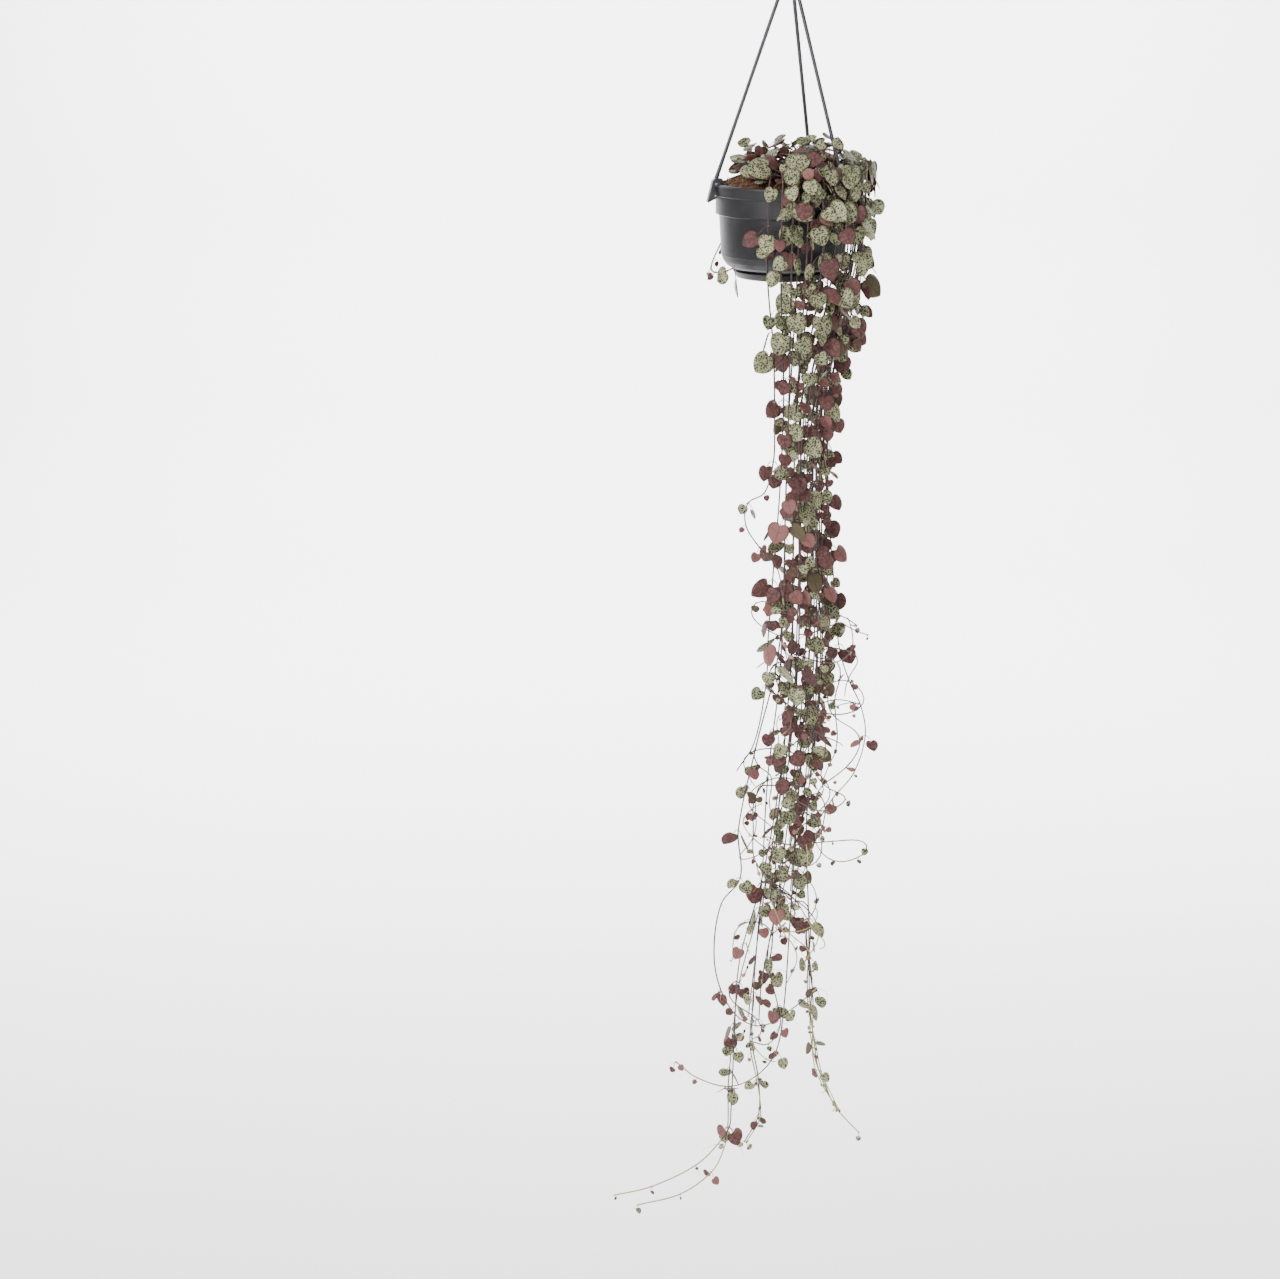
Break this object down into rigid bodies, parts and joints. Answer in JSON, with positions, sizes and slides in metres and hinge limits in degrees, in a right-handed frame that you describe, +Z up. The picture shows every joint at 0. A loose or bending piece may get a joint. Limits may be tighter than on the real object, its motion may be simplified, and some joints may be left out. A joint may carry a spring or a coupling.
{
  "type": "string of hearts in a hanging pot",
  "caption": "Trailing string-of-hearts plant with mottled heart-shaped leaves on long thin stems, in a black hanging nursery pot with a saucer and a hooked plastic hanger.",
  "frame": {"origin": "the seat of the hook, where it rests on a hanging bar, on the pot's vertical axis", "axes": "+Z up, -Y towards the side where most of the stems hang, +X to the right seen from that side"},
  "size_m": [0.289, 0.1846, 1.4021],
  "materials": {
    "pot_plastic": "satin charcoal black",
    "hanger_plastic": "satin dark grey",
    "coir": "matt fibrous orange-brown",
    "plant": "smooth fleshy leaf, sage green mottled dark green above and mauve below"
  },
  "bodies": {
    "root": {"pot": "pot_plastic", "saucer": "pot_plastic", "soil": "coir", "hanger": "hanger_plastic", "vine_01": "plant", "vine_02": "plant", "vine_03": "plant", "vine_04": "plant", "vine_05": "plant", "vine_06": "plant", "vine_07": "plant", "vine_08": "plant", "vine_09": "plant", "vine_10": "plant", "vine_11": "plant", "vine_12": "plant", "vine_13": "plant", "vine_14": "plant", "vine_15": "plant", "vine_16": "plant", "vine_17": "plant", "vine_18": "plant", "vine_19": "plant", "vine_20": "plant", "vine_21": "plant", "vine_22": "plant", "vine_23": "plant", "vine_24": "plant", "vine_25": "plant", "vine_26": "plant", "shoot_01": "plant", "shoot_02": "plant", "shoot_03": "plant", "shoot_04": "plant", "shoot_05": "plant", "shoot_06": "plant", "shoot_07": "plant", "shoot_08": "plant", "shoot_09": "plant", "shoot_10": "plant", "shoot_11": "plant", "shoot_12": "plant", "shoot_13": "plant"}
  },
  "joints": []
}
